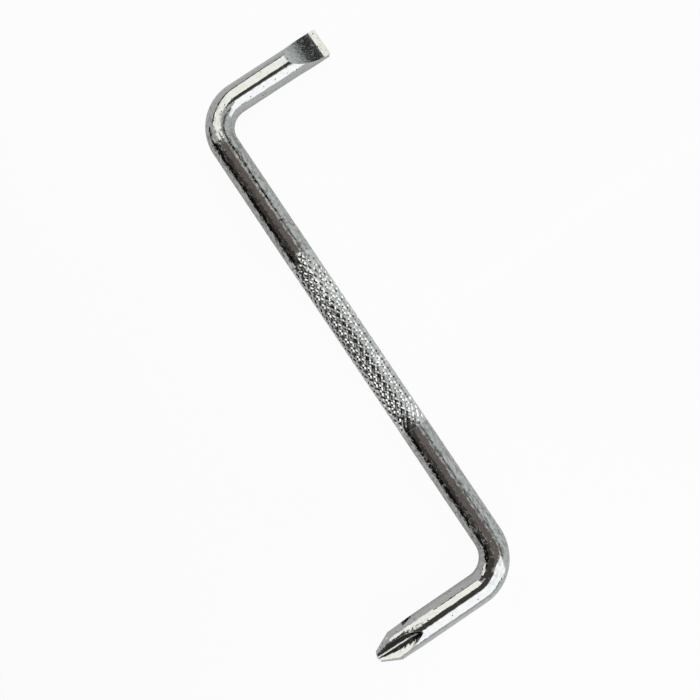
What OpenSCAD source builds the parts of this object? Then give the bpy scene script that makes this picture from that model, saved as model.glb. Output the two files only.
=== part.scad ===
// Offset screwdriver: one round steel bar bent into a Z.
// A slotted blade ends one arm, a size 2 cross tip ends the other, and the shaft between
// them carries a diamond knurl. The bar lies flat: its centreline stays in one plane.
//
// Frame: +X along the shaft from the slotted bend to the cross bend, +Y the way the
// slotted arm points, +Z up. The origin is on the resting plane, under the middle of
// the outline. The bar is one piece, so each node is a worked length of it, and each
// length ends on a flat section that its neighbour meets.

/* [Bar] */
// Diameter of the round bar
bar_d = 6; // [5.5:0.1:7]
// Distance along X between the two corners of the bar's centreline
corner_span = 109.4; // [90:0.1:140]
// Radius of each bend, at the centreline
bend_r = 7.3; // [6:0.1:10]

/* [Slotted end] */
// Reach of the slotted arm, from the shaft's centreline to the end of the blade
slotted_reach = 28.7; // [26:0.1:45]
// Length of the spread and ground blade
blade_l = 9.6; // [9.2:0.1:11]
// Width across the end of the blade, after the end of the bar is spread
blade_w = 6.4; // [6.2:0.1:7]
// Length of each ground face, from the end of the blade back to the round bar
face_l = 8.8; // [8.2:0.1:9]
// Length over which the end of the bar is spread wider than the bar
spread_l = 7.8; // [6:0.1:8]
// Length of the flat land at the end of each face
land_l = 1.45; // [1:0.05:2]
// Thickness of the blade across its lands
tip_t = 1.0; // [0.8:0.1:1.4]
// Radius of the wheels that grind the hollow faces
grind_r = 29; // [20:1:60]
// Bevel that breaks the edge of the bar's end, left as the blade's two corners
corner_break = 0.35; // [0.1:0.05:0.6]

/* [Cross end] */
// Reach of the cross arm, from the shaft's centreline to the point of the nose
cross_reach = 31.1; // [28:0.1:45]
// Length of the fluted and pointed tip
cross_tip_l = 11.4; // [11:0.1:13]
// Half angle of the cone that the four wings lie on
wing_angle = 26.5; // [24:0.5:28]
// Width across the wings where the nose begins
nose_w = 2.29; // [2:0.01:2.5]
// Included angle of the blunt point
nose_angle = 140; // [130:1:160]
// Distance from the axis to a flute's floor, at the point of the nose
flute_core = 0.57; // [0.5:0.01:0.7]
// Slope of a flute's floor against the axis
flute_slope = 5.75; // [5:0.05:7]
// Angle between a flute's two walls
flute_v = 92; // [90:1:94]
// Width of the floor between the two walls
flute_floor = 0.24; // [0.1:0.02:0.4]
// Length of a flute's straight floor, from the point of the nose
flute_l = 6.4; // [5.5:0.1:7]
// Radius of the cutter that forms the run-out of a flute
cutter_r = 7.5; // [6:0.1:9]

/* [Knurl] */
// Length of the knurled band
knurl_l = 41.2; // [30:0.1:50]
// Distance from the middle of the shaft to the middle of the band, towards the cross bend
knurl_shift = 1.1; // [-4:0.1:4]
// Diamonds along the band
knurl_rows = 20; // [14:1:24]
// Diamonds around the bar
knurl_starts = 14; // [12:1:16]
// Depth of the grooves between the diamonds
knurl_depth = 0.16; // [0.1:0.02:0.24]
// Share of a diamond that keeps the round of the bar, as a flat crest
knurl_crest_share = 0.5; // [0.3:0.05:0.7]

/* [Hidden] */
$fn = 96;
wheel_facets = 360;
quarter_turn = 90;
half_turn = 180;
full_turn = 360;

chrome = [0.80, 0.81, 0.80];
ground_chrome = [0.72, 0.73, 0.72];
knurled_chrome = [0.62, 0.63, 0.62];

bar_r = bar_d / 2;
blade_r = blade_w / 2;
corner_x = corner_span / 2;
shank_end = corner_x - bend_r;
knurl_start = knurl_shift - knurl_l / 2;
knurl_end = knurl_shift + knurl_l / 2;

// Room that a cutter takes beyond the metal it cuts
clear = 2 * bar_d;

// The outline's middle: the spread blade and the longer cross arm move it off the shaft's own
origin_x = (max(blade_r, bar_r) - bar_r) / 2;
origin_y = (cross_reach - slotted_reach) / 2;

// A ground face runs from the round bar to the back edge of the land, as one arc.
// Places in the blade's side view are [along the arm, out from its middle plane]
face_from = [blade_l - face_l, bar_r];
face_to = [blade_l - land_l, tip_t / 2];
face_chord = face_to - face_from;
face_away = [-face_chord.y, face_chord.x] / norm(face_chord);
wheel_rise = sqrt(grind_r ^ 2 - (norm(face_chord) / 2) ^ 2);
wheel_centre = (face_from + face_to) / 2 + wheel_rise * face_away;

// The tip's outline, from its root to the point
nose_r = nose_w / 2;
nose_h = nose_r / tan(nose_angle / 2);
cone_h = (bar_r - nose_r) / tan(wing_angle);

// The flute's straight floor ends here, as [distance from the axis, place along the tip]
floor_end = [flute_core + flute_l * tan(flute_slope), cross_tip_l - flute_l];
cutter_centre = floor_end + cutter_r * [cos(flute_slope), sin(flute_slope)];

// The grooves' crossings and the diamonds' middles share one grid of half pitches
grid_rows = 2 * knurl_rows;
grid_cols = 2 * knurl_starts;
grid_dx = knurl_l / grid_rows;
grid_da = full_turn / grid_cols;
floor_r = bar_r - knurl_depth;

// The four corners of a diamond's crest, as steps on the grid, and their order
CREST_STEPS = [[-1, 0], [0, -1], [1, 0], [0, 1]];
BEHIND = 0;
BELOW = 1;
AHEAD = 2;
ABOVE = 3;

// Moves a part from the bar's own frame, on the shaft's centreline, to the resting frame
module resting() translate([origin_x, origin_y, bar_r]) children();

// Stands a part on an arm's line: its Z runs out along the arm, from a stated reach
module on_slotted_arm(reach)
    resting()
        translate([-corner_x, reach, 0])
            rotate([-quarter_turn, 0, 0])
                children();

module on_cross_arm(reach)
    resting()
        translate([corner_x, -reach, 0])
            rotate([quarter_turn, 0, 0])
                children();

// A straight length of the bar, standing on Z
module bar(length) cylinder(h = length, r = bar_r);

// A length of the shaft between two places on X
module shaft_length(from_x, to_x)
    resting()
        translate([from_x, 0, 0])
            rotate([0, quarter_turn, 0])
                bar(to_x - from_x);

// A square bend in the plane of the tool, about its own centre, from a stated angle
module bend(from_angle)
    rotate([0, 0, from_angle])
        rotate_extrude(angle = quarter_turn)
            translate([bend_r, 0])
                circle(r = bar_r);

// What is left between the two wheels that grind the hollow faces, up to the land
module hollow_faces()
    difference() {
        translate([-clear / 2, -clear / 2, 0]) cube([clear, clear, face_to.x]);
        for (face = [0, 1])
            mirror([0, face, 0])
                translate([0, wheel_centre.y, wheel_centre.x])
                    rotate([0, quarter_turn, 0])
                        cylinder(h = clear, r = grind_r, center = true, $fn = wheel_facets);
    }

// The blade's thickness, from the round bar through the hollow faces to the flat land
module ground_thickness() {
    hollow_faces();
    translate([-clear / 2, -tip_t / 2, 0]) cube([clear, tip_t, clear]);
}

// The end of the bar before grinding: round, then spread, with its corner broken
module spread_bar()
    rotate_extrude()
        polygon([[0, 0], [bar_r, 0], [bar_r, blade_l - spread_l],
                 [blade_r, blade_l - corner_break], [blade_r - corner_break, blade_l],
                 [0, blade_l]]);

module slotted_blade()
    color(ground_chrome)
        on_slotted_arm(slotted_reach - blade_l)
            intersection() {
                spread_bar();
                ground_thickness();
            }

module slotted_arm()
    color(chrome)
        on_slotted_arm(bend_r)
            bar(slotted_reach - blade_l - bend_r);

module slotted_bend()
    color(chrome)
        resting()
            translate([-shank_end, bend_r, 0])
                bend(half_turn);

module slotted_shank()
    color(chrome)
        shaft_length(-shank_end, knurl_start);

// Knurl grid: even places hold the grooves' crossings, odd places the diamonds' middles
function grid_point(row, col, radius) =
    [knurl_start + min(max(row, 0), grid_rows) * grid_dx,
     radius * cos(col * grid_da), radius * sin(col * grid_da)];
function crossing(row, col) =
    row * knurl_starts + floor(((col + grid_cols) % grid_cols) / 2);
function crest(row, col, corner) =
    (grid_rows + 1 + row * len(CREST_STEPS)) * knurl_starts
    + floor(col / 2) * len(CREST_STEPS) + corner;

knurl_points = concat(
    [for (row = [0 : grid_rows]) for (k = [0 : knurl_starts - 1])
        grid_point(row, 2 * k + row % 2, floor_r)],
    [for (row = [0 : grid_rows]) for (k = [0 : knurl_starts - 1])
        let (col = 2 * k + (row + 1) % 2)
        for (step = CREST_STEPS)
            grid_point(row + step.x * knurl_crest_share,
                       col + step.y * knurl_crest_share, bar_r)]);

// A diamond has a crest and four sloping sides, and two sides in the first and last rows
function diamond(row, col) =
    let (a = crest(row, col, BEHIND), b = crest(row, col, BELOW),
         c = crest(row, col, AHEAD), d = crest(row, col, ABOVE),
         under = crossing(row, col - 1), over = crossing(row, col + 1))
    concat([[a, b, c], [a, c, d]],
        row == 0 ? [] : let (left = crossing(row - 1, col))
            [[left, under, b], [left, b, a], [left, a, d], [left, d, over]],
        row == grid_rows ? [] : let (right = crossing(row + 1, col))
            [[right, c, b], [right, b, under], [right, over, d], [right, d, c]]);

// The outline of an end face, once around the bar. The crest's outer corner falls on it
function end_ring(row, outer) =
    [for (k = [0 : knurl_starts - 1])
        let (col = 2 * k + (row + 1) % 2)
        each [crossing(row, col - 1), crest(row, col, BELOW),
              crest(row, col, outer), crest(row, col, ABOVE)]];
function reversed(list) = [for (i = [len(list) - 1 : -1 : 0]) list[i]];

knurl_faces = concat(
    [for (row = [0 : grid_rows]) for (k = [0 : knurl_starts - 1])
        each diamond(row, 2 * k + (row + 1) % 2)],
    [end_ring(0, BEHIND), reversed(end_ring(grid_rows, AHEAD))]);

module knurled_grip()
    color(knurled_chrome)
        resting()
            polyhedron(points = knurl_points, faces = knurl_faces);

module cross_shank()
    color(chrome)
        shaft_length(knurl_end, shank_end);

module cross_bend()
    color(chrome)
        resting()
            translate([shank_end, -bend_r, 0])
                bend(0);

module cross_arm()
    color(chrome)
        on_cross_arm(bend_r)
            bar(cross_reach - cross_tip_l - bend_r);

// The tip before its flutes are cut: round bar, cone and blunt nose
module pointed_bar()
    rotate_extrude()
        polygon([[0, 0], [bar_r, 0], [bar_r, cross_tip_l - nose_h - cone_h],
                 [nose_r, cross_tip_l - nose_h], [0, cross_tip_l]]);

// Section of the flute cutter: X across the flute, Y out from its floor
module cutter_section()
    let (floor_half = flute_floor / 2, top_half = floor_half + bar_d * tan(flute_v / 2))
    polygon([[-floor_half, 0], [floor_half, 0], [top_half, bar_d], [-top_half, bar_d]]);

// One flute: a straight pass out through the nose, and the wheel's own arc at its root
module flute_cutter() {
    translate([floor_end.x, 0, floor_end.y])
        rotate([0, -flute_slope, 0])
            rotate([0, 0, -quarter_turn])
                linear_extrude(height = flute_l + clear)
                    cutter_section();
    translate([cutter_centre.x, 0, cutter_centre.y])
        rotate([quarter_turn, 0, 0])
            rotate_extrude()
                translate([cutter_r, 0])
                    rotate([0, 0, quarter_turn])
                        cutter_section();
}

module cross_tip()
    color(ground_chrome)
        on_cross_arm(cross_reach - cross_tip_l)
            difference() {
                pointed_bar();
                for (turn = [0 : quarter_turn : full_turn - 1])
                    rotate([0, 0, turn])
                        flute_cutter();
            }

slotted_blade();
slotted_arm();
slotted_bend();
slotted_shank();
knurled_grip();
cross_shank();
cross_bend();
cross_arm();
cross_tip();
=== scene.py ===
"""Offset screwdriver: the plated, knurled and ground finish of a round bar bent into a Z.

Sizes are in metres, and are written in millimetres times MM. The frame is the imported
model's own: +X along the shaft, +Y the way the slotted arm points, +Z up.
"""

import math
from typing import NamedTuple

import bpy
from bpy.props import (
    FloatProperty, FloatVectorProperty, IntProperty, PointerProperty,
)
from mathutils import Matrix, Vector


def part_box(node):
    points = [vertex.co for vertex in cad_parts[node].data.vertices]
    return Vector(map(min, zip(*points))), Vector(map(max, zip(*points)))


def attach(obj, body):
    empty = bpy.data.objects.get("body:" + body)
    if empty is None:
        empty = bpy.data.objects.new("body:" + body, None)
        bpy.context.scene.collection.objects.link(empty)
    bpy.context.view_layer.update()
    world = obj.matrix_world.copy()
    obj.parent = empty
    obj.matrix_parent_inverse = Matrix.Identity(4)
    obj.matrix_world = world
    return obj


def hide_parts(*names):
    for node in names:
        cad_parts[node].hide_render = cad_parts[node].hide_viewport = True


bl_info = {
    "name": "Offset Screwdriver",
    "version": (1, 0, 0),
    "blender": (4, 5, 0),
    "location": "View3D > Sidebar > Screwdriver",
    "description": "Builds the finish of a bent, knurled and chrome plated offset screwdriver",
    "category": "Add Mesh",
}

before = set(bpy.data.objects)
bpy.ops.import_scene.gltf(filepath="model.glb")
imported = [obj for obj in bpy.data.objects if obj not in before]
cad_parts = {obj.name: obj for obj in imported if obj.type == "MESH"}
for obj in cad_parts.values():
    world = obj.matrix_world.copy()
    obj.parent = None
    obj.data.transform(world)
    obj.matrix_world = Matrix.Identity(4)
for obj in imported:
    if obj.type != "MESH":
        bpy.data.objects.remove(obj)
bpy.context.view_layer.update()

MM = 0.001
MERGE_WITHIN = 0.001 * MM
BISECT_WITHIN = 0.0001 * MM
GROUND_FROM = 0.01 * MM  # how far below the bar's surface a face counts as ground
SMOOTH_BELOW = math.radians(18)
SENSOR_WIDTH = 36
QUARTER_TURN = math.pi / 2
FULL_TURN = 2 * math.pi
X, Y, Z = 0, 1, 2
LOW, HIGH = 0, 1


def to_hundredth(length):
    """A length in metres, rounded to 0.01 mm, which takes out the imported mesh's facets."""
    return round(length / MM, 2) * MM


def end_of(node, corner, axis):
    """Where a node begins or ends along one axis."""
    return to_hundredth(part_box(node)[corner][axis])


def middle(node, axis):
    """The middle of a node along one axis."""
    return to_hundredth(sum(corner[axis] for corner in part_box(node)) / 2)


def span(node, axis):
    """The size of a node along one axis."""
    low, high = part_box(node)
    return to_hundredth(high[axis] - low[axis])


class Limb(NamedTuple):
    """One arm and its bend."""

    arm_x: float  # the arm's axis
    bend_y: float  # where the bend meets the arm
    shank_x: float  # where the bend meets the shaft
    side: int  # 1 where the arm points along +Y, and -1 where it points along -Y


SHAFT_Y = middle("slotted_shank", Y)
AXIS_Z = middle("slotted_shank", Z)
SLOTTED = Limb(middle("slotted_arm", X), end_of("slotted_bend", HIGH, Y),
               end_of("slotted_bend", HIGH, X), 1)
CROSS = Limb(middle("cross_arm", X), end_of("cross_bend", LOW, Y),
             end_of("cross_bend", LOW, X), -1)
BLADE_ROOT_Y = end_of("slotted_blade", LOW, Y)
BLADE_END_Y = end_of("slotted_blade", HIGH, Y)
TIP_ROOT_Y = end_of("cross_tip", HIGH, Y)
TIP_END_Y = end_of("cross_tip", LOW, Y)
KNURL_FROM_X = end_of("knurled_grip", LOW, X)
KNURL_TO_X = end_of("knurled_grip", HIGH, X)

# The papers of the light tent: colour and strength
PAPERS = {
    "warm_grey": ("7A726F", 1),
    "pale_grey": ("D6D4D0", 1),
    "dark_grey": ("4A4847", 1),
    "dark_brown": ("4A4543", 1),
    "brown_black": ("1C1A19", 1),
    "warm_black": ("161414", 1),
    "cream": ("FFFEF8", 1.38),
    "charcoal": ("303030", 1),
    "white": ("FAFBFF", 1.6),
    "cool_grey": ("5C5D60", 1),
    "pale_blue": ("D8DEE0", 1),
    "slate": ("6A6E70", 1),
    "mid_grey": ("9A9D9E", 1),
    "black": ("161616", 1),
}

# The light tent: the paper of each card and its four corners in mm. The metal shows the cards
# as its bands: cream and white along the arms, and brown to black along the shaft.
TENT = {
    "strip_left": (
        "warm_grey", ((-50.5, -1.9, 12), (-21.5, -1.9, 12), (-21.5, 4.25, 12), (-50.5, 3.6, 12))),
    "strip_left_rim": (
        "pale_grey", ((-50.5, 3.6, 12), (-21.5, 4.25, 12), (-21.5, 6.2, 12), (-50.5, 5.9, 12))),
    "strip_right": (
        "warm_grey", ((22.2, -1.9, 12), (53.8, -1.9, 12), (53.8, 5, 12), (22.2, 4.4, 12))),
    "dark_canopy": (
        "dark_grey", ((-35, -90, 179), (83, -90, 246), (83, 76, 246), (-35, 76, 179))),
    "front_ceiling": (
        "dark_brown", ((-84, -33, 90), (74, -33, 90), (84, -105, 90), (-114, -105, 90))),
    "front_far": (
        "brown_black", ((-114, -105, 90), (84, -105, 90), (110, -200, 90), (-160, -200, 90))),
    "front_wall": (
        "warm_black", ((-300, -200, 90), (300, -200, 90), (300, -200, 34), (-300, -200, 14))),
    "cream_side": (
        "cream", ((-37, -38, 180), (-37, 58, 180), (-112, 58, 70), (-112, -38, 70))),
    "cream_low": (
        "cream", ((-112, -5, 70), (-112, 52, 70), (-126, 52, 51), (-126, 22, 51))),
    "cream_hem": (
        "charcoal", ((-126, 22, 51), (-126, 52, 51), (-126, 52, 38), (-126, 22, 38))),
    "cream_hem_slanted": (
        "charcoal", ((-112, -5, 70), (-126, 22, 51), (-126, 22, 38), (-122, -5, 57))),
    "cream_hem_front": (
        "charcoal", ((-112, -38, 70), (-112, -5, 70), (-122, -5, 57), (-122, -38, 57))),
    "white_side": (
        "white", ((93, -100, 225), (93, 68, 225), (110, 46, 21.5), (110, -60, 21.5))),
    "white_low": (
        "white", ((110, 28, 21.5), (110, 46, 21.5), (116, 46, 1), (116, 28, 1))),
    "white_hem": (
        "cool_grey", ((110, -60, 21.5), (110, 28, 21.5), (111.5, 28, 18), (111.5, -60, 18))),
    "back_wall": (
        "pale_blue", ((-400, 200, 0), (400, 200, 0), (400, 200, 140), (-400, 200, 140))),
    "back_band": (
        "slate", ((-110, 200, 168), (400, 200, 168), (400, 200, 256), (-110, 200, 256))),
    "back_band_mid": (
        "mid_grey", ((-400, 200, 118), (-110, 200, 118), (-110, 200, 160), (-400, 200, 160))),
    "back_band_dark": (
        "black", ((-400, 200, 160), (-110, 200, 160), (-110, 200, 262), (-400, 200, 262))),
}

# Small cards close to the bar, which the metal shows and which give the floor no light
CLOSE_CARDS = {
    "cream_by_tip": (
        "cream", ((31.4, -25, 9), (32.9, -38, 9), (32.9, -38, 16), (31.4, -25, 16))),
    "cream_by_bend": (
        "cream", ((30.5, -17, 8), (31.4, -25, 8), (31.4, -25, 22), (30.5, -17, 22))),
    "white_by_bend": (
        "white", ((5, 22, 4), (5, 90, 4), (5, 90, 45), (5, 22, 72))),
}


def linear(hex_colour):
    """A hex colour, which is written in sRGB, as linear red, green, blue and alpha."""
    parts = [int(hex_colour[i:i + 2], 16) / 255 for i in (0, 2, 4)]
    curved = [p / 12.92 if p <= 0.04045 else ((p + 0.055) / 1.055) ** 2.4 for p in parts]
    return (*curved, 1)


class BarSizes(bpy.types.PropertyGroup):
    """The round bar and how finely its round is divided."""

    diameter: FloatProperty(
        name="Diameter", description="Diameter of the round bar",
        default=span("cross_arm", X), unit="LENGTH")
    sides: IntProperty(
        name="Sides", description="Faces around the bar", default=128, min=24)
    end_sides: IntProperty(
        name="End sides", description="Faces around the blade and the tip", default=192, min=24)
    bend_steps: IntProperty(
        name="Bend steps", description="Rings in each bend", default=48, min=8)


class BladeSizes(bpy.types.PropertyGroup):
    """The spread and hollow ground blade."""

    width: FloatProperty(
        name="Width", description="Width across the end",
        default=span("slotted_blade", X), unit="LENGTH")
    spread: FloatProperty(
        name="Spread", description="Length that is spread wider than the bar",
        default=7.8 * MM, unit="LENGTH")
    face: FloatProperty(
        name="Face", description="Length of each ground face",
        default=8.8 * MM, unit="LENGTH")
    land: FloatProperty(
        name="Land", description="Length of the flat land at the end",
        default=1.45 * MM, unit="LENGTH")
    thickness: FloatProperty(
        name="Thickness", description="Thickness across the lands",
        default=1 * MM, unit="LENGTH")
    wheel: FloatProperty(
        name="Wheel radius", description="Radius of the grinding wheel",
        default=29 * MM, unit="LENGTH")
    wheel_steps: IntProperty(
        name="Wheel steps", description="Steps along each hollow face", default=64, min=8)
    corner: FloatProperty(
        name="Corner", description="Bevel at the blade's corners",
        default=0.35 * MM, unit="LENGTH")


class TipSizes(bpy.types.PropertyGroup):
    """The four winged cross tip."""

    wing_angle: FloatProperty(
        name="Wing angle", description="Half angle of the wings' cone",
        default=math.radians(26.5), subtype="ANGLE")
    nose_width: FloatProperty(
        name="Nose width", description="Width where the nose begins",
        default=2.29 * MM, unit="LENGTH")
    nose_angle: FloatProperty(
        name="Nose angle", description="Included angle of the point",
        default=math.radians(140), subtype="ANGLE")
    point: FloatProperty(
        name="Point", description="Width of the blunt point as a share of the nose",
        default=0.01, subtype="FACTOR")
    core: FloatProperty(
        name="Core", description="Distance from the axis to a flute at the point",
        default=0.57 * MM, unit="LENGTH")
    slope: FloatProperty(
        name="Slope", description="Slope of a flute's floor",
        default=math.radians(5.75), subtype="ANGLE")
    opening: FloatProperty(
        name="Opening", description="Angle between a flute's walls",
        default=math.radians(92), subtype="ANGLE")
    floor: FloatProperty(
        name="Floor", description="Width of a flute's floor",
        default=0.24 * MM, unit="LENGTH")
    rounding: FloatProperty(
        name="Rounding", description="Share of the floor that rounds into its walls",
        default=0.6, subtype="FACTOR")
    flute: FloatProperty(
        name="Flute", description="Length of a flute's straight floor",
        default=6.4 * MM, unit="LENGTH")
    cutter: FloatProperty(
        name="Cutter radius", description="Radius of the flute cutter",
        default=7.5 * MM, unit="LENGTH")
    run_out: FloatProperty(
        name="Run-out", description="Turn of the cutter past the straight floor",
        default=math.radians(75), subtype="ANGLE")
    run_out_steps: IntProperty(
        name="Run-out steps", description="Steps along that turn", default=40, min=8)


class KnurlSizes(bpy.types.PropertyGroup):
    """The diamond knurl rolled into the shaft."""

    rows: IntProperty(name="Rows", description="Diamonds along the band", default=20)
    starts: IntProperty(name="Starts", description="Diamonds around the bar", default=14)
    depth: FloatProperty(
        name="Depth", description="Depth of the grooves",
        default=0.2 * MM, unit="LENGTH")
    groove: FloatProperty(
        name="Groove", description="Width of a groove as a share of its pitch",
        default=0.62, subtype="FACTOR")
    floor: FloatProperty(
        name="Groove floor", description="Width of a groove's floor as a share of its pitch",
        default=0.1, subtype="FACTOR")
    left_fade: FloatProperty(
        name="Left fade", description="Length over which the knurl deepens at the blade's end",
        default=7 * MM, unit="LENGTH")
    left_depth: FloatProperty(
        name="Left depth", description="Share of the depth where that fade begins",
        default=0.55, subtype="FACTOR")
    right_fade: FloatProperty(
        name="Right fade", description="Length over which one set of grooves runs out",
        default=5.5 * MM, unit="LENGTH")
    right_depth: FloatProperty(
        name="Right depth", description="Share of the depth that the other set keeps",
        default=0.65, subtype="FACTOR")
    run_out: FloatProperty(
        name="Run-out", description="Length over which all grooves run out at both ends",
        default=1.2 * MM, unit="LENGTH")


class PlateFinish(bpy.types.PropertyGroup):
    """The colours of the plate and of what lies in it, and the sizes of its patterns."""

    chrome: FloatVectorProperty(
        name="Chrome", description="Bright chrome over steel",
        default=linear("CDCFCC")[:3], subtype="COLOR")
    # A lighter copy of the chrome for the whole knurl: painted highlight, which makes its
    # reflections brighter than the bar's
    crest: FloatVectorProperty(
        name="Crest", description="Chrome on the knurl, whose crests the hand keeps bright",
        default=linear("E2E4E1")[:3], subtype="COLOR")
    dull: FloatVectorProperty(
        name="Dull chrome", description="Chrome over the grain of the steel",
        default=linear("A3A29D")[:3], subtype="COLOR")
    pit: FloatVectorProperty(
        name="Pit", description="Dark bottom of a pit in the plate",
        default=linear("453E39")[:3], subtype="COLOR")
    # A darker colour, mixed in deeper than the bar's surface, in the knurl's grooves
    groove_tint: FloatVectorProperty(
        name="Grime", description="Old polish and dirt in the knurl's grooves",
        default=linear("6B645D")[:3], subtype="COLOR")
    speckle: FloatProperty(
        name="Speckle", description="Width of a dull speckle",
        default=0.4 * MM, unit="LENGTH")
    pit_spacing: FloatProperty(
        name="Pit spacing", description="Distance from pit to pit",
        default=1.3 * MM, unit="LENGTH")
    mark_spacing: FloatProperty(
        name="Mark spacing", description="Distance between grinding marks",
        default=0.15 * MM, unit="LENGTH")
    wave: FloatProperty(
        name="Wave", description="Distance from crest to crest in the polish",
        default=2.5 * MM, unit="LENGTH")


class StageSizes(bpy.types.PropertyGroup):
    """The floor and the camera above it."""

    floor: FloatProperty(
        name="Floor", description="Side of the floor", default=6, unit="LENGTH")
    floor_glow: FloatProperty(
        name="Floor glow", description="Share of the floor that shows plain white",
        default=0.95, subtype="FACTOR")
    floor_in_metal: FloatProperty(
        name="Floor in metal", description="Share of that white which the metal shows",
        default=0.2, subtype="FACTOR")
    focal_length: FloatProperty(
        name="Focal length", description=f"For a sensor {SENSOR_WIDTH} mm wide",
        default=37.81, unit="CAMERA")
    eye: FloatVectorProperty(
        name="Eye", description="Place of the camera",
        default=(12.03 * MM, -5.41 * MM, 150.4 * MM), subtype="TRANSLATION", unit="LENGTH")
    tilt: FloatVectorProperty(
        name="Tilt", description="Rotation of the camera",
        default=[math.radians(a) for a in (4.263, 0.732, 56.253)], subtype="EULER")


def add_node(tree, kind, values=None, links=None, **settings):
    """Adds a node, with values and links given by the names of its inputs."""
    made = tree.nodes.new(kind)
    for name, value in settings.items():
        setattr(made, name, value)
    for socket, value in (values or {}).items():
        made.inputs[socket].default_value = value
    for socket, source in (links or {}).items():
        tree.links.new(source, made.inputs[socket])
    return made


def new_material(name):
    """An empty node material and its tree."""
    material = bpy.data.materials.new(name)
    material.use_nodes = True
    material.node_tree.nodes.clear()
    return material, material.node_tree


class Marks(NamedTuple):
    """The sockets of the patterns in the plate. All but the first run from 0 to 1."""

    drawn: bpy.types.NodeSocket  # place on the straight bar in mm, halved along it
    speckle: bpy.types.NodeSocket  # the steel's grain
    wear: bpy.types.NodeSocket  # how much of the grain shows
    dull: bpy.types.NodeSocket  # spots where the grain shows
    pits: bpy.types.NodeSocket
    groove_tint: bpy.types.NodeSocket
    scratches: bpy.types.NodeSocket  # grinding marks
    satin: bpy.types.NodeSocket  # where they lie


def plate_marks(tree, worn, grooved, ground):
    """Adds the patterns in the plate, which follow the straight bar round its bends."""
    finish = bpy.context.scene.screwdriver_finish
    bar_place = add_node(tree, "ShaderNodeAttribute", attribute_name="bar_place")
    place = add_node(tree, "ShaderNodeVectorMath", operation="SCALE",
                     links={0: bar_place.outputs["Vector"]}, values={"Scale": 1 / MM})
    axes = add_node(tree, "ShaderNodeSeparateXYZ", links={0: place.outputs[0]})

    # Bright spots in the shaft's dark band and dark ones in the arms' pale bands: the plate
    # is dull where it covers the steel's grain. The grain is about 0.05 mm, and is drawn at
    # 0.4 mm and twice as long as wide, so that it shows. It fades to a fifth round the bend,
    # from 2 to 10 mm past the shaft.
    drawn = add_node(tree, "ShaderNodeVectorMath", operation="MULTIPLY",
                     links={0: place.outputs[0]}, values={1: (1, 1, 1 / 2)})
    speckle = add_node(tree, "ShaderNodeTexNoise", links={"Vector": drawn.outputs[0]},
                       values={"Scale": MM / finish.speckle, "Detail": 1, "Roughness": 0.5})
    spots = add_node(tree, "ShaderNodeMapRange", links={"Value": speckle.outputs[0]},
                     values={"From Min": 0.55, "From Max": 0.66})
    wear = add_node(tree, "ShaderNodeMapRange", links={"Value": axes.outputs["Z"]},
                    values={"From Min": 2, "From Max": 10, "To Min": worn, "To Max": 0.2 * worn})
    dull = add_node(tree, "ShaderNodeMath", operation="MULTIPLY",
                    links={0: spots.outputs[0], 1: wear.outputs[0]})

    # Round pits 0.2 to 0.3 mm across, scattered over the plate
    cells = add_node(tree, "ShaderNodeTexVoronoi", links={"Vector": place.outputs[0]},
                     values={"Scale": MM / finish.pit_spacing})
    pits = add_node(tree, "ShaderNodeMapRange", links={"Value": cells.outputs["Distance"]},
                    values={"From Min": 0.13, "From Max": 0.07})

    # A share of a darker colour, and more roughness, deeper than the bar's surface, in the
    # grooves
    across = add_node(tree, "ShaderNodeCombineXYZ",
                      links={0: axes.outputs["X"], 1: axes.outputs["Y"]})
    radius = add_node(tree, "ShaderNodeVectorMath", operation="LENGTH",
                      links={0: across.outputs[0]})
    bar_r = bpy.context.scene.screwdriver_bar.diameter / 2 / MM
    groove_tint = add_node(tree, "ShaderNodeMapRange", links={"Value": radius.outputs["Value"]},
                     values={"From Min": bar_r - 0.06, "From Max": bar_r - 0.14,
                             "To Max": grooved})

    # Grinding marks run along the arm. They are about 0.05 mm apart, and are drawn at
    # 0.15 mm, so that they show.
    wheel_run = add_node(tree, "ShaderNodeVectorMath", operation="MULTIPLY",
                         links={0: place.outputs[0]}, values={1: (1, 1, 1 / 20)})
    scratches = add_node(tree, "ShaderNodeTexNoise", links={"Vector": wheel_run.outputs[0]},
                         values={"Scale": MM / finish.mark_spacing, "Detail": 2,
                                 "Roughness": 0.7})
    ground_face = add_node(tree, "ShaderNodeAttribute", attribute_name="ground_face")
    satin = add_node(tree, "ShaderNodeMath", operation="MULTIPLY",
                     links={0: ground_face.outputs["Fac"]}, values={1: ground})
    return Marks(*(node.outputs[0] for node in (
        drawn, speckle, wear, dull, pits, groove_tint, scratches, satin)))


def plate_colour(tree, bright, marks):
    """Bright chrome, duller over the steel's grain, and dark in the grooves and pits."""
    finish = bpy.context.scene.screwdriver_finish
    film = add_node(tree, "ShaderNodeMapRange",
                    links={"Value": marks.speckle, "To Max": marks.wear},
                    values={"From Min": 0.4, "From Max": 0.68})
    bare = add_node(tree, "ShaderNodeMix", data_type="RGBA", links={0: film.outputs[0]},
                    values={6: (*bright, 1), 7: (*finish.dull, 1)})
    # Mixed towards the darker groove colour deeper than the bar's surface
    groove_tinted = add_node(tree, "ShaderNodeMix", data_type="RGBA",
                     links={0: marks.groove_tint, 6: bare.outputs[2]},
                     values={7: (*finish.groove_tint, 1)})
    pitted = add_node(tree, "ShaderNodeMix", data_type="RGBA",
                      links={0: marks.pits, 6: groove_tinted.outputs[2]},
                      values={7: (*finish.pit, 1)})
    return pitted.outputs[2]


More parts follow.
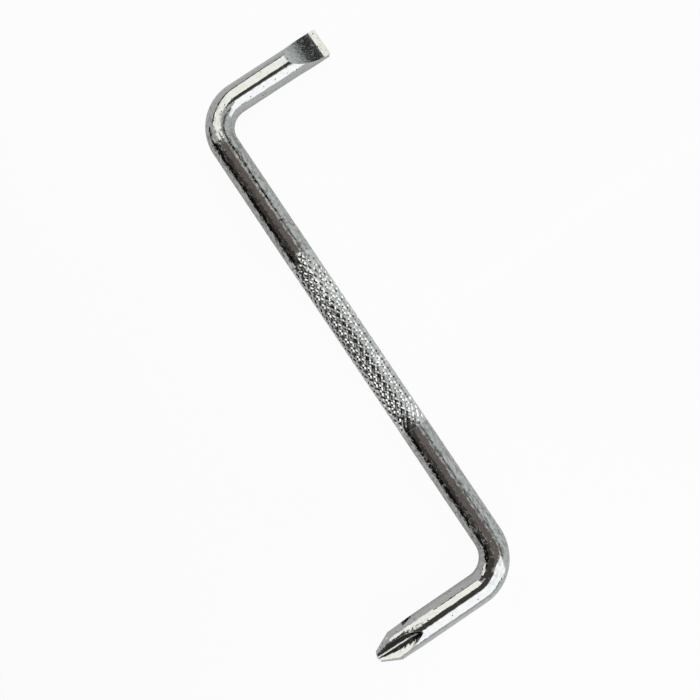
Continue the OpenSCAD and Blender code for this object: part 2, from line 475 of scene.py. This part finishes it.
def plate_roughness(tree, roughness, marks):
    """The plate's own roughness, and more where it is dull, pitted, deep in the grooves or
    ground.
    """
    rough = add_node(tree, "ShaderNodeMath", operation="MULTIPLY_ADD",
                     links={0: marks.dull}, values={1: 0.5, 2: roughness})
    for mark, more in ((marks.pits, 0.35), (marks.groove_tint, 0.3), (marks.satin, 0.1)):
        rough = add_node(tree, "ShaderNodeMath", operation="MULTIPLY_ADD",
                         links={0: mark, 2: rough.outputs[0]}, values={1: more})
    return rough.outputs[0]


def plate_relief(tree, grain, marks):
    """Faint waves in the polish, the steel's grain and pits, and the grinding marks."""
    finish = bpy.context.scene.screwdriver_finish
    wave = add_node(tree, "ShaderNodeTexNoise", links={"Vector": marks.drawn},
                    values={"Scale": MM / finish.wave, "Detail": 1})
    edges = add_node(tree, "ShaderNodeBevel", samples=4, values={"Radius": 0.05 * MM})
    wavy = add_node(tree, "ShaderNodeBump",
                    links={"Height": wave.outputs[0], "Normal": edges.outputs[0]},
                    values={"Distance": 0.02 * MM})
    dented = add_node(tree, "ShaderNodeMath", operation="SUBTRACT",
                      links={0: marks.speckle, 1: marks.pits})
    grainy = add_node(tree, "ShaderNodeBump",
                      links={"Height": dented.outputs[0], "Normal": wavy.outputs[0],
                             "Strength": marks.wear},
                      values={"Distance": grain})
    scratched = add_node(tree, "ShaderNodeBump",
                         links={"Height": marks.scratches, "Normal": grainy.outputs[0],
                                "Strength": marks.satin},
                         values={"Distance": 0.008 * MM})
    return scratched.outputs[0]


def chrome_plate(name, bright, roughness, grain, worn, grooved=0, ground=0):
    """Chrome over steel: a mirror that shows the steel's grain, with small pits.

    The grain has a height. Worn, grooved and ground are shares: how much of the grain shows,
    how much darker the grooves are made and how strong the grinding marks are.
    """
    material, tree = new_material(name)
    marks = plate_marks(tree, worn, grooved, ground)
    shader = add_node(tree, "ShaderNodeBsdfPrincipled", values={"Metallic": 1}, links={
        "Base Color": plate_colour(tree, bright, marks),
        "Roughness": plate_roughness(tree, roughness, marks),
        "Normal": plate_relief(tree, grain, marks),
    })
    add_node(tree, "ShaderNodeOutputMaterial", links={"Surface": shader.outputs[0]})
    return material


def select_only(piece):
    """Selects one piece, and makes it the one that operators act on."""
    bpy.ops.object.select_all(action="DESELECT")
    bpy.context.view_layer.objects.active = piece
    piece.select_set(True)


def edit_all(piece):
    """Goes into edit mode on one piece, with all of it selected."""
    select_only(piece)
    bpy.ops.object.mode_set(mode="EDIT")
    bpy.ops.mesh.select_mode(type="FACE")
    bpy.ops.mesh.select_all(action="SELECT")


def begin(name):
    """Names the primitive that has just been added."""
    piece = bpy.context.object
    piece.name = name
    piece.data.name = name
    return piece


def extrude(offset, scale=1.0):
    """Extrudes the selected face by an offset, then scales it across Z about the Z axis."""
    bpy.ops.mesh.extrude_region_move(TRANSFORM_OT_translate={"value": offset})
    if scale != 1.0:
        bpy.ops.transform.resize(value=(scale, scale, 1), center_override=(0, 0, 0))


def close_mesh():
    """Merges doubles and points all faces out, then leaves edit mode."""
    bpy.ops.mesh.select_all(action="SELECT")
    bpy.ops.mesh.remove_doubles(threshold=MERGE_WITHIN)
    bpy.ops.mesh.normals_make_consistent(inside=False)
    bpy.ops.object.mode_set(mode="OBJECT")


def settle(piece, place=None):
    """Applies a piece's place, so that its object is at the origin, and smooths it."""
    select_only(piece)
    if place is not None:
        piece.matrix_world = place
    bpy.ops.object.transform_apply(location=True, rotation=True, scale=True)
    bpy.ops.object.shade_smooth_by_angle(angle=SMOOTH_BELOW)


def cut(piece, cutters):
    """Takes the cutters out of a piece, one after another."""
    for cutter in cutters:
        select_only(piece)
        boolean = piece.modifiers.new("cut", "BOOLEAN")
        boolean.operation = "DIFFERENCE"
        boolean.solver = "EXACT"
        boolean.object = cutter
        bpy.ops.object.modifier_apply(modifier=boolean.name)
        bpy.data.objects.remove(cutter)


def bent_bar(name, limb, arm_end_y, shaft_end_x):
    """Sweeps the round bar from an arm's end through its bend and along the shaft."""
    bar = bpy.context.scene.screwdriver_bar
    bpy.ops.object.select_all(action="DESELECT")
    bpy.ops.mesh.primitive_circle_add(
        vertices=bar.sides, radius=bar.diameter / 2, fill_type="NGON",
        enter_editmode=True, location=(limb.arm_x, arm_end_y, AXIS_Z),
        rotation=(QUARTER_TURN, 0, 0))
    piece = begin(name)
    extrude((0, limb.bend_y - arm_end_y, 0))
    bpy.ops.mesh.spin(
        steps=bar.bend_steps, angle=-QUARTER_TURN,
        center=(limb.shank_x, limb.bend_y, AXIS_Z), axis=(0, 0, 1))
    extrude((shaft_end_x - limb.shank_x, 0, 0))
    close_mesh()
    settle(piece)
    return piece


def unbent(place, limb):
    """Where a point of a bent limb lies on the straight bar: two across, one along."""
    across_z = place.z - AXIS_Z
    bend_r = abs(limb.shank_x - limb.arm_x)
    beyond_bend = limb.side * (place.y - limb.bend_y)
    into_shaft = limb.side * (place.x - limb.shank_x)
    if beyond_bend > 0:
        return (limb.side * (limb.arm_x - place.x), across_z,
                bend_r * QUARTER_TURN + beyond_bend)
    if into_shaft > 0:
        return (limb.side * (SHAFT_Y - place.y), across_z, -into_shaft)
    out_x, out_y = place.x - limb.shank_x, place.y - limb.bend_y
    return (math.hypot(out_x, out_y) - bend_r, across_z,
            bend_r * math.atan2(abs(out_x), abs(out_y)))


def finish_piece(piece, limb, material, slot, *nodes):
    """Marks places along the bar, gives the piece its plate and hands it to the frame."""
    marks = piece.data.attributes.new("bar_place", "FLOAT_VECTOR", "POINT")
    for vertex, mark in zip(piece.data.vertices, marks.data):
        mark.vector = unbent(vertex.co, limb)
    piece.data.materials.append(material)
    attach(piece, "root")
    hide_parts(*nodes)


def mark_ground_faces(piece, bar_r):
    """Marks the faces of an upright piece that lie deeper than the bar's own surface."""
    marks = piece.data.attributes.new("ground_face", "FLOAT", "FACE")
    for face, mark in zip(piece.data.polygons, marks.data):
        mark.value = face.center.xy.length < bar_r - GROUND_FROM


def bar_plate():
    """Chrome on the drawn bar: a mirror on the arms, and finely speckled on the shaft."""
    name = "bright_chrome_on_drawn_steel"
    finish = bpy.context.scene.screwdriver_finish
    return bpy.data.materials.get(name) or chrome_plate(
        name, finish.chrome, roughness=0.04, grain=0.045 * MM, worn=1)


class SCREWDRIVER_OT_slotted_limb(bpy.types.Operator):
    """Adds the bar from the blade through its bend to the knurl"""

    bl_idname = "screwdriver.slotted_limb"
    bl_label = "Slotted limb"

    def execute(self, context):
        piece = bent_bar("slotted_limb", SLOTTED, BLADE_ROOT_Y, KNURL_FROM_X)
        finish_piece(piece, SLOTTED, bar_plate(), "chrome_bar",
                     "slotted_arm", "slotted_bend", "slotted_shank")
        return {"FINISHED"}


class SCREWDRIVER_OT_cross_limb(bpy.types.Operator):
    """Adds the bar from the cross tip through its bend to the knurl"""

    bl_idname = "screwdriver.cross_limb"
    bl_label = "Cross limb"

    def execute(self, context):
        piece = bent_bar("cross_limb", CROSS, TIP_ROOT_Y, KNURL_TO_X)
        finish_piece(piece, CROSS, bar_plate(), "chrome_bar",
                     "cross_shank", "cross_bend", "cross_arm")
        return {"FINISHED"}


def knurl_tile(knurl, pitch_x, pitch_round):
    """One diamond as a grid on its corner, with lines at the foot and top of its walls."""
    foot, top = knurl.floor / 2, knurl.groove / 2
    lines = (0, foot, top, 0.5, 1 - top, 1 - foot, 1)
    steps = len(lines) - 1
    bpy.ops.object.select_all(action="DESELECT")
    bpy.ops.mesh.primitive_grid_add(x_subdivisions=steps, y_subdivisions=steps, size=1)
    tile = begin("knurl_band")
    for vertex in tile.data.vertices:
        a, b = (lines[round((place + 0.5) * steps)] - 0.5 for place in vertex.co.xy)
        vertex.co = ((a + b) * pitch_x / 2, (b - a) * pitch_round / 2, 0)
    return tile


def repeat(piece, count, step):
    """Repeats a piece by an applied Array, with its edges merged."""
    array = piece.modifiers.new("repeat", "ARRAY")
    array.count = count
    array.use_relative_offset = False
    array.use_constant_offset = True
    array.constant_offset_displace = step
    array.use_merge_vertices = True
    array.merge_threshold = MERGE_WITHIN
    bpy.ops.object.modifier_apply(modifier=array.name)


def within(value):
    """A value kept between 0 and 1."""
    return min(max(value, 0.0), 1.0)


def groove(knurl, pitches):
    """Share of the full depth at a number of pitches from a groove: 1 at its floor."""
    from_floor = abs(pitches - round(pitches))
    return within((knurl.groove / 2 - from_floor) / (knurl.groove / 2 - knurl.floor / 2))


def groove_depth(knurl, along, length, pitches_x, pitches_round):
    """Depth of the grooves at one place on the band, whose two ends fade each in its way."""
    left = within(knurl.left_depth + (1 - knurl.left_depth) * along / knurl.left_fade)
    right = within((length - along) / knurl.right_fade)
    kept = knurl.right_depth + (1 - knurl.right_depth) * right
    ends = within(min(along, length - along) / knurl.run_out)
    grooves = max(kept * groove(knurl, pitches_x + pitches_round),
                  right * groove(knurl, pitches_x - pitches_round))
    return knurl.depth * ends * left * grooves


class SCREWDRIVER_OT_knurl_band(bpy.types.Operator):
    """Adds the diamond knurl: one diamond repeated on a sheet, then rolled round"""

    bl_idname = "screwdriver.knurl_band"
    bl_label = "Knurl band"

    def execute(self, context):
        knurl = context.scene.screwdriver_knurl
        bar_r = context.scene.screwdriver_bar.diameter / 2
        length = KNURL_TO_X - KNURL_FROM_X
        pitch_x = length / knurl.rows
        pitch_round = FULL_TURN * bar_r / knurl.starts
        # Two diamonds fill a pitch each way, and two spare rows are cut off at the ends
        spare_rows = 2
        band = knurl_tile(knurl, pitch_x, pitch_round)
        repeat(band, 2, (pitch_x / 2, pitch_round / 2, 0))
        repeat(band, knurl.rows + spare_rows, (pitch_x, 0, 0))
        repeat(band, knurl.starts, (0, pitch_round, 0))
        for vertex in band.data.vertices:
            along = vertex.co.x - pitch_x
            turn = vertex.co.y / bar_r
            radius = bar_r - groove_depth(
                knurl, along, length, along / pitch_x + 0.5, vertex.co.y / pitch_round)
            vertex.co = (KNURL_FROM_X + along, SHAFT_Y + radius * math.sin(turn),
                         AXIS_Z + radius * math.cos(turn))
        edit_all(band)
        bpy.ops.mesh.remove_doubles(threshold=MERGE_WITHIN)
        for end_x, outward in ((KNURL_FROM_X, False), (KNURL_TO_X, True)):
            bpy.ops.mesh.select_all(action="SELECT")
            bpy.ops.mesh.bisect(
                plane_co=(end_x, 0, 0), plane_no=(1, 0, 0), use_fill=True,
                clear_outer=outward, clear_inner=not outward, threshold=BISECT_WITHIN)
        close_mesh()
        settle(band)
        # Rolled knurl in a lighter copy of the chrome, which is painted highlight, mixed towards
        # a darker colour deeper in the grooves
        # The knurl's colour is the chrome painted lighter, as painted highlight
        crest = context.scene.screwdriver_finish.crest
        plate = chrome_plate("chrome_painted_lighter_on_rolled_knurl", crest, roughness=0.06,
                             grain=0.06 * MM, worn=0.3, grooved=0.08)
        finish_piece(band, SLOTTED, plate, "chrome_knurl", "knurled_grip")
        return {"FINISHED"}


def bar_end(name):
    """Starts the blade or the tip as an upright bar's end face, in edit mode."""
    bar = bpy.context.scene.screwdriver_bar
    bpy.ops.object.select_all(action="DESELECT")
    bpy.ops.mesh.primitive_circle_add(
        vertices=bar.end_sides, radius=bar.diameter / 2, fill_type="NGON", enter_editmode=True)
    return begin(name)


def wheel_cutter(blade, bar_r, length, side):
    """The part of a grinding wheel that passes through one face, up to the land."""
    start = Vector((length - blade.face, bar_r))
    end = Vector((length - blade.land, blade.thickness / 2))
    chord = end - start
    away = Vector((-chord.y, chord.x)).normalized()
    wheel_r = blade.wheel
    centre = (start + end) / 2 + away * math.sqrt(wheel_r ** 2 - (chord.length / 2) ** 2)
    entry = math.atan2(start.y - centre.y, start.x - centre.x)
    leave = math.atan2(end.y - centre.y, end.x - centre.x)
    lead_in = math.radians(6)
    rim = 6 * MM
    across = 4 * bar_r
    angle = entry - lead_in
    middle_r = wheel_r - rim / 2
    bpy.ops.object.select_all(action="DESELECT")
    bpy.ops.mesh.primitive_plane_add(size=1, enter_editmode=True)
    wheel = begin("wheel")
    bpy.ops.transform.resize(value=(across, rim, 1), center_override=(0, 0, 0))
    bpy.ops.object.mode_set(mode="OBJECT")
    wheel.matrix_world = (
        Matrix.Translation((0, side * (centre.y + middle_r * math.sin(angle)),
                            centre.x + middle_r * math.cos(angle)))
        @ Matrix.Rotation(math.atan2(math.cos(angle), side * math.sin(angle)), 4, "X")
    )
    bpy.ops.object.transform_apply(location=True, rotation=True, scale=True)
    edit_all(wheel)
    bpy.ops.mesh.spin(
        steps=blade.wheel_steps, angle=side * (leave - angle),
        center=(0, side * centre.y, centre.x), axis=(1, 0, 0))
    close_mesh()
    return wheel


def land_cutter(blade, bar_r, length, side):
    """A block that leaves the flat land at the end of a face."""
    height = 2 * bar_r
    run = 2 * blade.land
    bpy.ops.object.select_all(action="DESELECT")
    bpy.ops.mesh.primitive_cube_add(
        size=1, location=(0, side * (blade.thickness / 2 + height / 2),
                          length - blade.land + run / 2))
    block = begin("land")
    block.scale = (4 * bar_r, height, run)
    bpy.ops.object.transform_apply(location=True, rotation=True, scale=True)
    return block


class SCREWDRIVER_OT_ground_blade(bpy.types.Operator):
    """Adds the spread blade with its two hollow ground faces"""

    bl_idname = "screwdriver.ground_blade"
    bl_label = "Ground blade"

    def execute(self, context):
        blade = context.scene.screwdriver_blade
        bar_r = context.scene.screwdriver_bar.diameter / 2
        length = BLADE_END_Y - BLADE_ROOT_Y
        half_width = blade.width / 2
        corner = blade.corner
        piece = bar_end("ground_blade")
        extrude((0, 0, length - blade.spread))
        extrude((0, 0, blade.spread - corner), half_width / bar_r)
        extrude((0, 0, corner), (half_width - corner) / half_width)
        close_mesh()
        cut(piece, [
            make(blade, bar_r, length, side)
            for side in (1, -1) for make in (wheel_cutter, land_cutter)
        ])
        mark_ground_faces(piece, bar_r)
        settle(piece, Matrix.Translation((SLOTTED.arm_x, BLADE_ROOT_Y, AXIS_Z))
               @ Matrix.Rotation(-QUARTER_TURN, 4, "X"))
        # Ground along the arm, which leaves satin faces beside the bright bar
        chrome = context.scene.screwdriver_finish.chrome
        plate = chrome_plate("bright_chrome_on_ground_steel", chrome, roughness=0.05,
                             grain=0.12 * MM, worn=1, ground=1)
        finish_piece(piece, SLOTTED, plate, "chrome_ground", "slotted_blade")
        return {"FINISHED"}


def flute_cutter(tip, length, turn):
    """One flute's cutter: its section drawn out through the nose and round its wheel."""
    floor_half = tip.floor / 2
    height = tip.cutter
    top_half = floor_half + height * math.tan(tip.opening / 2)
    slope = tip.slope
    flute = tip.flute
    rounding = floor_half * tip.rounding
    floor_end = Vector((tip.core + flute * math.tan(slope), 0, length - flute))
    wheel = floor_end + tip.cutter * Vector((math.cos(slope), 0, math.sin(slope)))
    past_nose = floor_end + 2 * flute * Vector((-math.sin(slope), 0, math.cos(slope)))
    wall_half = floor_half + rounding * math.sin(tip.opening / 2)
    wall_foot = rounding * math.cos(tip.opening / 2)
    outline = [
        (-top_half, height), (-wall_half, wall_foot), (rounding - floor_half, 0),
        (floor_half - rounding, 0), (wall_half, wall_foot), (top_half, height),
    ]
    bpy.ops.object.select_all(action="DESELECT")
    bpy.ops.mesh.primitive_circle_add(vertices=len(outline), fill_type="NGON")
    cutter = begin("flute")
    lean = Matrix.Rotation(-slope, 4, "Y")
    for vertex, (across, out) in zip(cutter.data.vertices, outline):
        vertex.co = past_nose + lean @ Vector((out, across, 0))
    edit_all(cutter)
    extrude(floor_end - past_nose)
    bpy.ops.mesh.spin(
        steps=tip.run_out_steps, angle=tip.run_out, center=wheel, axis=(0, 1, 0))
    close_mesh()
    cutter.rotation_euler = (0, 0, turn)
    bpy.ops.object.transform_apply(location=True, rotation=True, scale=True)
    return cutter


class SCREWDRIVER_OT_fluted_tip(bpy.types.Operator):
    """Adds the cross tip: a pointed bar with four flutes milled out of it"""

    bl_idname = "screwdriver.fluted_tip"
    bl_label = "Fluted tip"

    def execute(self, context):
        tip = context.scene.screwdriver_tip
        bar_r = context.scene.screwdriver_bar.diameter / 2
        length = TIP_ROOT_Y - TIP_END_Y
        nose_r = tip.nose_width / 2
        nose_h = nose_r / math.tan(tip.nose_angle / 2)
        cone_h = (bar_r - nose_r) / math.tan(tip.wing_angle)
        piece = bar_end("fluted_tip")
        extrude((0, 0, length - nose_h - cone_h))
        extrude((0, 0, cone_h), nose_r / bar_r)
        extrude((0, 0, nose_h), tip.point)
        close_mesh()
        cut(piece, [flute_cutter(tip, length, quarter * QUARTER_TURN) for quarter in range(4)])
        mark_ground_faces(piece, bar_r)
        settle(piece, Matrix.Translation((CROSS.arm_x, TIP_ROOT_Y, AXIS_Z))
               @ Matrix.Rotation(QUARTER_TURN, 4, "X"))
        # Milled flutes, which are brighter than ground faces and show only faint marks
        chrome = context.scene.screwdriver_finish.chrome
        plate = chrome_plate("bright_chrome_on_milled_steel", chrome, roughness=0.05,
                             grain=0.12 * MM, worn=1, ground=0.2)
        finish_piece(piece, CROSS, plate, "chrome_ground", "cross_tip")
        return {"FINISHED"}


def card(name, paper, corners, lights_floor=True):
    """A card of the tent, which gives an even light and which the camera doesn't see."""
    colour, strength = PAPERS[paper]
    bpy.ops.object.select_all(action="DESELECT")
    bpy.ops.mesh.primitive_plane_add(size=1)
    piece = begin(name)
    first, second, third, fourth = corners
    for vertex, corner in zip(piece.data.vertices, (first, second, fourth, third)):
        vertex.co = Vector(corner) * MM
    material, tree = new_material(name)
    glow = add_node(tree, "ShaderNodeEmission",
                    values={"Color": linear(colour), "Strength": strength})
    add_node(tree, "ShaderNodeOutputMaterial", links={"Surface": glow.outputs[0]})
    piece.data.materials.append(material)
    piece.visible_camera = False
    piece.visible_diffuse = lights_floor


def seen_directly(tree, through_metal):
    """1 for the camera, and a share of 1 for what metal or glass shows."""
    path = add_node(tree, "ShaderNodeLightPath")
    indirect = add_node(
        tree, "ShaderNodeMath", operation="MAXIMUM",
        links={0: path.outputs["Is Glossy Ray"], 1: path.outputs["Is Transmission Ray"]})
    share = add_node(tree, "ShaderNodeMath", operation="MULTIPLY",
                     links={0: indirect.outputs[0]}, values={1: through_metal})
    return add_node(tree, "ShaderNodeMath", operation="MAXIMUM",
                    links={0: path.outputs["Is Camera Ray"], 1: share.outputs[0]})


def white_floor(stage):
    """The floor: matt white paper, which keeps a soft shadow of the tool."""
    bpy.ops.object.select_all(action="DESELECT")
    bpy.ops.mesh.primitive_plane_add(size=stage.floor)
    floor = begin("floor")
    material, tree = new_material("matt_white_paper")
    paper = add_node(tree, "ShaderNodeBsdfDiffuse", values={"Color": linear("F4F4F4")})
    white = add_node(tree, "ShaderNodeEmission",
                     values={"Color": linear("FFFFFF"), "Strength": 1})
    direct = seen_directly(tree, stage.floor_in_metal)
    lift = add_node(tree, "ShaderNodeMath", operation="MULTIPLY",
                    links={0: direct.outputs[0]}, values={1: stage.floor_glow})
    shown = add_node(tree, "ShaderNodeMixShader", links={
        0: lift.outputs[0], 1: paper.outputs[0], 2: white.outputs[0]})
    add_node(tree, "ShaderNodeOutputMaterial", links={"Surface": shown.outputs[0]})
    floor.data.materials.append(material)


def pale_room():
    """The room round the tent: grey as the metal shows it, and white to the camera."""
    world = bpy.data.worlds.new("pale_room")
    bpy.context.scene.world = world
    world.use_nodes = True
    tree = world.node_tree
    tree.nodes.clear()
    direct = seen_directly(tree, 0)
    room = add_node(tree, "ShaderNodeMix", data_type="RGBA", links={0: direct.outputs[0]},
                    values={6: linear("C6C8CA"), 7: linear("FFFFFF")})
    light = add_node(tree, "ShaderNodeBackground", links={"Color": room.outputs[2]})
    add_node(tree, "ShaderNodeOutputWorld", links={"Surface": light.outputs[0]})


class SCREWDRIVER_OT_stage(bpy.types.Operator):
    """Adds the white floor, the light tent and the camera"""

    bl_idname = "screwdriver.stage"
    bl_label = "Stage"

    def execute(self, context):
        stage = context.scene.screwdriver_stage
        white_floor(stage)
        pale_room()
        for name, (paper, corners) in TENT.items():
            card(name, paper, corners)
        for name, (paper, corners) in CLOSE_CARDS.items():
            card(name, paper, corners, lights_floor=False)
        lens = bpy.data.cameras.new("camera")
        lens.sensor_width = SENSOR_WIDTH
        lens.lens = stage.focal_length
        lens.clip_start = 10 * MM
        camera = bpy.data.objects.new("camera", lens)
        context.scene.collection.objects.link(camera)
        camera.location = stage.eye
        camera.rotation_euler = stage.tilt
        context.scene.camera = camera
        context.scene.view_settings.view_transform = "Standard"
        return {"FINISHED"}


class SCREWDRIVER_PT_sidebar(bpy.types.Panel):
    """Lists the pieces of the screwdriver and its stage"""

    bl_label = "Offset screwdriver"
    bl_idname = "SCREWDRIVER_PT_sidebar"
    bl_space_type = "VIEW_3D"
    bl_region_type = "UI"
    bl_category = "Screwdriver"

    def draw(self, context):
        for name in PROPERTY_GROUPS:
            group = getattr(context.scene, name)
            box = self.layout.box()
            for field in group.bl_rna.properties.keys():
                if field not in ("rna_type", "name"):
                    box.prop(group, field)
        for operator in OPERATORS:
            self.layout.operator(operator.bl_idname)


PROPERTY_GROUPS = {
    "screwdriver_bar": BarSizes,
    "screwdriver_blade": BladeSizes,
    "screwdriver_tip": TipSizes,
    "screwdriver_knurl": KnurlSizes,
    "screwdriver_finish": PlateFinish,
    "screwdriver_stage": StageSizes,
}
OPERATORS = (
    SCREWDRIVER_OT_stage,
    SCREWDRIVER_OT_slotted_limb,
    SCREWDRIVER_OT_cross_limb,
    SCREWDRIVER_OT_knurl_band,
    SCREWDRIVER_OT_ground_blade,
    SCREWDRIVER_OT_fluted_tip,
)


def register():
    for group in PROPERTY_GROUPS.values():
        bpy.utils.register_class(group)
    for name, group in PROPERTY_GROUPS.items():
        setattr(bpy.types.Scene, name, PointerProperty(type=group))
    for operator in OPERATORS:
        bpy.utils.register_class(operator)
    bpy.utils.register_class(SCREWDRIVER_PT_sidebar)


def unregister():
    bpy.utils.unregister_class(SCREWDRIVER_PT_sidebar)
    for operator in reversed(OPERATORS):
        bpy.utils.unregister_class(operator)
    for name in PROPERTY_GROUPS:
        delattr(bpy.types.Scene, name)
    for group in reversed(PROPERTY_GROUPS.values()):
        bpy.utils.unregister_class(group)


def main():
    register()
    bpy.ops.screwdriver.stage()
    bpy.ops.screwdriver.slotted_limb()
    bpy.ops.screwdriver.cross_limb()
    bpy.ops.screwdriver.knurl_band()
    bpy.ops.screwdriver.ground_blade()
    bpy.ops.screwdriver.fluted_tip()


if __name__ == "__main__":
    main()
